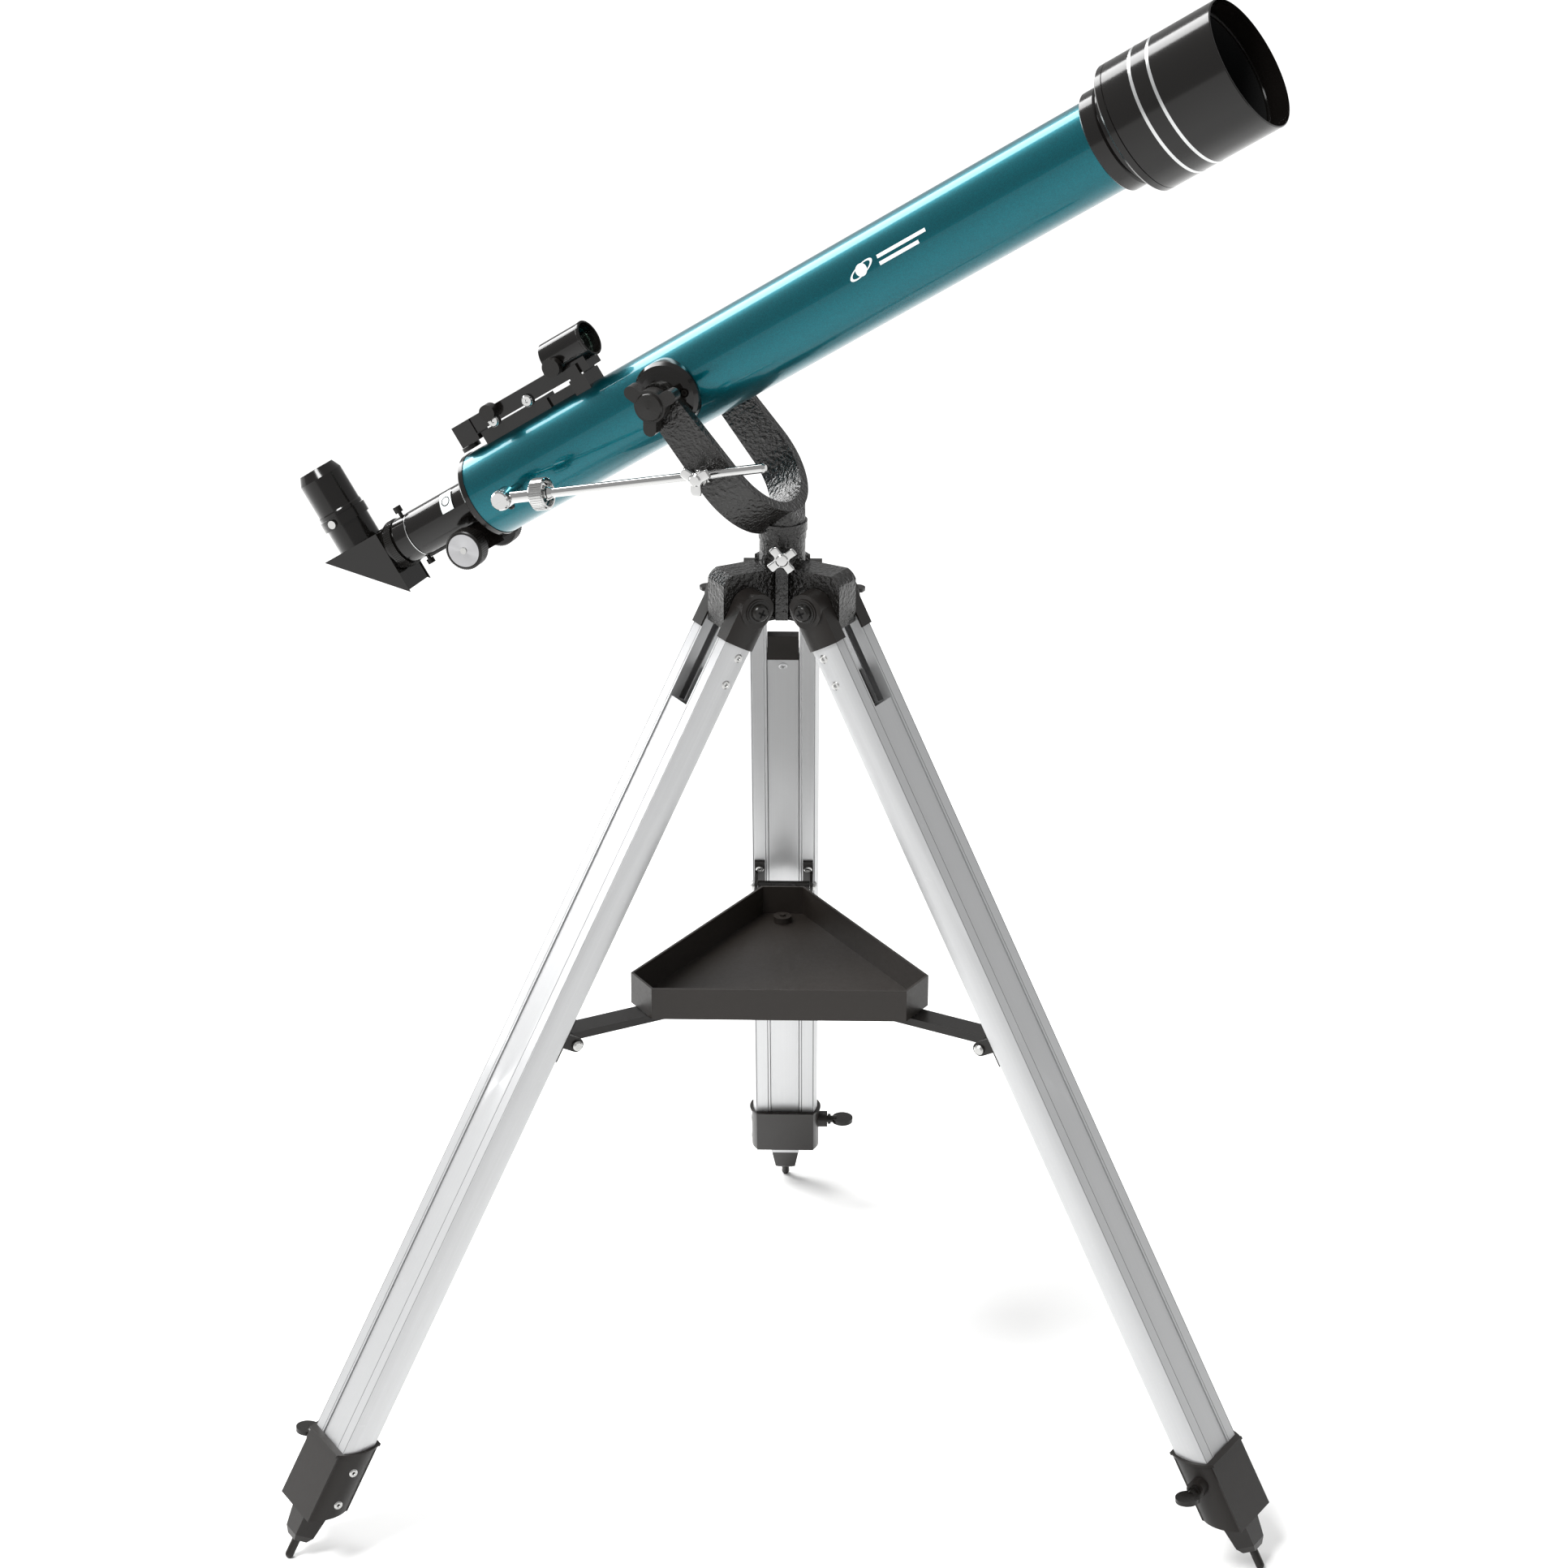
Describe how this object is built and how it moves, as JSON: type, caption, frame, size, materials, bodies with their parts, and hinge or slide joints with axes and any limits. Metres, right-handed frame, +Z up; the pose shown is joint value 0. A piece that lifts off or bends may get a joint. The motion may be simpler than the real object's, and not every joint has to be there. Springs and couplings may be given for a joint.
{
  "type": "telescope on tripod",
  "caption": "Small refracting telescope on an altazimuth yoke with slow motion rod, finder and star diagonal, on a folding aluminium tripod with an accessory tray.",
  "frame": {"origin": "on the floor, on the azimuth axis, in the middle of the three feet", "axes": "+Z up along the azimuth axis; the rear leg points to +Y and the two front legs to -Y; the tube points to +X, 20.9 degrees round towards -Y"},
  "size_m": [0.7376, 0.6616, 1.1512],
  "materials": {
    "hammertone_casting": "black hammertone paint, fine bumps",
    "chromed_steel": "bright chrome",
    "tray_plastic": "black, lightly scuffed",
    "leg_plastic": "black, fine grain",
    "knob_plastic": "black, semi-gloss",
    "black_steel": "black enamel",
    "satin_anodised": "satin anodised, drawn lengthwise",
    "plain_steel": "zinc plated",
    "teal_metallic": "teal metallic lacquer",
    "gloss_black": "gloss black",
    "coated_glass": "coated, faint violet-green sheen",
    "mirror_glass": "polished"
  },
  "bodies": {
    "head": {"head_casting": "hammertone_casting"},
    "azimuth_lock": {"azimuth_lock_knob": "chromed_steel"},
    "yoke": {"yoke": "hammertone_casting"},
    "altitude_knob_left": {"altitude_knob_left": "knob_plastic"},
    "altitude_knob_right": {"altitude_knob_right": "knob_plastic"},
    "tube": {"main_tube": "teal_metallic", "lens_cell": "gloss_black", "objective_lens": "coated_glass", "focuser_body": "gloss_black", "pivot_discs": "gloss_black", "finder_base": "gloss_black", "rod_post": "chromed_steel"},
    "dew_shield": {"dew_shield": "gloss_black"},
    "drawtube": {"drawtube": "gloss_black", "drawtube_screws": "knob_plastic"},
    "focus": {"focus_pinion": "plain_steel", "focus_knobs": "gloss_black"},
    "diagonal": {"diagonal_body": "gloss_black", "diagonal_mirror": "mirror_glass", "holder_screw": "chromed_steel"},
    "eyepiece": {"eyepiece": "gloss_black", "eyepiece_lens": "coated_glass"},
    "finder": {"finder_body": "gloss_black", "finder_knobs": "knob_plastic"},
    "rod": {"slow_motion_rod": "chromed_steel"},
    "rod_wheel": {"rod_wheel": "chromed_steel"},
    "rod_clamp": {"rod_clamp": "chromed_steel"},
    "clamp_screw": {"clamp_screw": "chromed_steel"},
    "tray": {"tray": "tray_plastic", "tray_knobs": "tray_plastic"},
    "leg_rear": {"leg_caps_rear": "leg_plastic", "leg_rails_rear": "satin_anodised", "leg_fasteners_rear": "plain_steel", "foot_bracket_rear": "leg_plastic", "brace_hinge_rear": "black_steel"},
    "wing_nut_rear": {"wing_nut_rear": "knob_plastic"},
    "lock_screw_rear": {"lock_screw_rear": "knob_plastic"},
    "inner_leg_rear": {"inner_leg_rear": "satin_anodised", "inner_ends_rear": "leg_plastic"},
    "brace_arm_rear": {"brace_arm_rear": "black_steel"},
    "leg_left": {"leg_caps_left": "leg_plastic", "leg_rails_left": "satin_anodised", "leg_fasteners_left": "plain_steel", "foot_bracket_left": "leg_plastic", "brace_hinge_left": "black_steel"},
    "wing_nut_left": {"wing_nut_left": "knob_plastic"},
    "lock_screw_left": {"lock_screw_left": "knob_plastic"},
    "inner_leg_left": {"inner_leg_left": "satin_anodised", "inner_ends_left": "leg_plastic"},
    "brace_arm_left": {"brace_arm_left": "black_steel"},
    "leg_right": {"leg_caps_right": "leg_plastic", "leg_rails_right": "satin_anodised", "leg_fasteners_right": "plain_steel", "foot_bracket_right": "leg_plastic", "brace_hinge_right": "black_steel"},
    "wing_nut_right": {"wing_nut_right": "knob_plastic"},
    "lock_screw_right": {"lock_screw_right": "knob_plastic"},
    "inner_leg_right": {"inner_leg_right": "satin_anodised", "inner_ends_right": "leg_plastic"},
    "brace_arm_right": {"brace_arm_right": "black_steel"}
  },
  "joints": [
    {"name": "azimuth_turn", "type": "hinge", "parent": "head", "child": "yoke", "pos_m": [0, 0, 0.735], "axis": [0, 0, 1], "continuous": true},
    {"name": "azimuth_lock_turn", "type": "hinge", "parent": "head", "child": "azimuth_lock", "pos_m": [0, -0.0168, 0.727], "axis": [0, -1, 0], "range_deg": [0, 180]},
    {"name": "altitude_tilt", "type": "hinge", "parent": "yoke", "child": "tube", "pos_m": [-0.071, 0.02711, 0.8426], "axis": [-0.3567, -0.9342, 0], "range_deg": [-30, 40]},
    {"name": "altitude_knob_left_turn", "type": "hinge", "parent": "yoke", "child": "altitude_knob_left", "pos_m": [-0.05316, 0.07382, 0.8426], "axis": [0.3567, 0.9342, 0], "range_deg": [0, 180]},
    {"name": "altitude_knob_right_turn", "type": "hinge", "parent": "yoke", "child": "altitude_knob_right", "pos_m": [-0.08884, -0.0196, 0.8426], "axis": [-0.3567, -0.9342, 0], "range_deg": [0, 180]},
    {"name": "dew_shield_slide", "type": "slide", "parent": "tube", "child": "dew_shield", "axis": [0.7808, -0.2982, 0.549], "range_m": [0, 0.06]},
    {"name": "focus_slide", "type": "slide", "parent": "tube", "child": "drawtube", "axis": [-0.7808, 0.2982, -0.549], "range_m": [0, 0.08]},
    {"name": "focus_turn", "type": "hinge", "parent": "tube", "child": "focus", "pos_m": [-0.22398, 0.08553, 0.70393], "axis": [-0.3567, -0.9342, 0], "range_deg": [0, 765]},
    {"name": "diagonal_turn", "type": "hinge", "parent": "drawtube", "child": "diagonal", "pos_m": [-0.29275, 0.11179, 0.68668], "axis": [-0.7808, 0.2982, -0.549], "range_deg": [-60, 60]},
    {"name": "eyepiece_slide", "type": "slide", "parent": "diagonal", "child": "eyepiece", "axis": [-0.5129, 0.1959, 0.8358], "range_m": [0, 0.02]},
    {"name": "finder_tilt", "type": "hinge", "parent": "tube", "child": "finder", "pos_m": [-0.14929, 0.05701, 0.8445], "axis": [-0.3567, -0.9342, 0], "range_deg": [-0.5, 0.5]},
    {"name": "rod_swing", "type": "hinge", "parent": "tube", "child": "rod", "pos_m": [-0.20289, 0.01689, 0.75688], "axis": [-0.3567, -0.9342, 0], "range_deg": [-6, 6]},
    {"name": "rod_wheel_turn", "type": "hinge", "parent": "rod", "child": "rod_wheel", "pos_m": [-0.17472, 0.00613, 0.76404], "axis": [0.909, -0.3471, 0.2309], "continuous": true},
    {"name": "clamp_slide", "type": "slide", "parent": "rod", "child": "rod_clamp", "axis": [0.909, -0.3471, 0.2309], "range_m": [-0.045, 0.035]},
    {"name": "clamp_screw_turn", "type": "hinge", "parent": "rod_clamp", "child": "clamp_screw", "pos_m": [-0.05696, -0.03884, 0.79396], "axis": [-0.3567, -0.9342, 0], "range_deg": [0, 180]},
    {"name": "leg_fold_rear", "type": "hinge", "parent": "head", "child": "leg_rear", "pos_m": [0, 0.036, 0.6926], "axis": [-1, 0, 0], "range_deg": [0, 26]},
    {"name": "wing_nut_rear_turn", "type": "hinge", "parent": "leg_rear", "child": "wing_nut_rear", "pos_m": [-0.03, 0.036, 0.6926], "axis": [-1, 0, 0], "range_deg": [0, 180]},
    {"name": "lock_screw_rear_turn", "type": "hinge", "parent": "leg_rear", "child": "lock_screw_rear", "pos_m": [0.03, 0.37835, 0.07351], "axis": [1, 0, 0], "range_deg": [0, 180]},
    {"name": "leg_extend_rear", "type": "slide", "parent": "leg_rear", "child": "inner_leg_rear", "axis": [0, 0.4839, -0.8751], "range_m": [0, 0.42]},
    {"name": "brace_swing_rear", "type": "hinge", "parent": "leg_rear", "child": "brace_arm_rear", "pos_m": [0, 0.18376, 0.3789], "axis": [-1, 0, 0], "range_deg": [-117, 0]},
    {"name": "leg_fold_left", "type": "hinge", "parent": "head", "child": "leg_left", "pos_m": [-0.03118, -0.018, 0.6926], "axis": [0.5, -0.866, 0], "range_deg": [0, 26]},
    {"name": "wing_nut_left_turn", "type": "hinge", "parent": "leg_left", "child": "wing_nut_left", "pos_m": [-0.04618, 0.00798, 0.6926], "axis": [-0.5, 0.866, 0], "range_deg": [0, 180]},
    {"name": "lock_screw_left_turn", "type": "hinge", "parent": "leg_left", "child": "lock_screw_left", "pos_m": [-0.34266, -0.16319, 0.07351], "axis": [-0.5, 0.866, 0], "range_deg": [0, 180]},
    {"name": "leg_extend_left", "type": "slide", "parent": "leg_left", "child": "inner_leg_left", "axis": [-0.4191, -0.242, -0.8751], "range_m": [0, 0.42]},
    {"name": "brace_swing_left", "type": "hinge", "parent": "leg_left", "child": "brace_arm_left", "pos_m": [-0.15914, -0.09188, 0.3789], "axis": [0.5, -0.866, 0], "range_deg": [-117, 0]},
    {"name": "leg_fold_right", "type": "hinge", "parent": "head", "child": "leg_right", "pos_m": [0.03118, -0.018, 0.6926], "axis": [0.5, 0.866, 0], "range_deg": [0, 26]},
    {"name": "wing_nut_right_turn", "type": "hinge", "parent": "leg_right", "child": "wing_nut_right", "pos_m": [0.04618, 0.00798, 0.6926], "axis": [0.5, 0.866, 0], "range_deg": [0, 180]},
    {"name": "lock_screw_right_turn", "type": "hinge", "parent": "leg_right", "child": "lock_screw_right", "pos_m": [0.31266, -0.21516, 0.07351], "axis": [-0.5, -0.866, 0], "range_deg": [0, 180]},
    {"name": "leg_extend_right", "type": "slide", "parent": "leg_right", "child": "inner_leg_right", "axis": [0.4191, -0.242, -0.8751], "range_m": [0, 0.42]},
    {"name": "brace_swing_right", "type": "hinge", "parent": "leg_right", "child": "brace_arm_right", "pos_m": [0.15914, -0.09188, 0.3789], "axis": [0.5, 0.866, 0], "range_deg": [-117, 0]},
    {"name": "tray_lift_off", "type": "slide", "parent": "head", "child": "tray", "axis": [0, -1, 0], "range_m": [0, 0.67]}
  ],
  "couplings": [
    {"joint": "focus_turn", "follows": "focus_slide", "rad_per_m": 166.67},
    {"joint": "rod_swing", "follows": "altitude_tilt", "ratio": -0.127},
    {"joint": "clamp_slide", "follows": "altitude_tilt", "m_per_rad": -0.0561},
    {"joint": "brace_swing_rear", "follows": "leg_fold_rear", "ratio": -4.4615},
    {"joint": "leg_fold_left", "follows": "leg_fold_rear", "ratio": 1},
    {"joint": "brace_swing_left", "follows": "leg_fold_rear", "ratio": -4.4615},
    {"joint": "leg_fold_right", "follows": "leg_fold_rear", "ratio": 1},
    {"joint": "brace_swing_right", "follows": "leg_fold_rear", "ratio": -4.4615},
    {"joint": "tray_lift_off", "follows": "leg_fold_rear", "m_per_rad": 1.45}
  ]
}
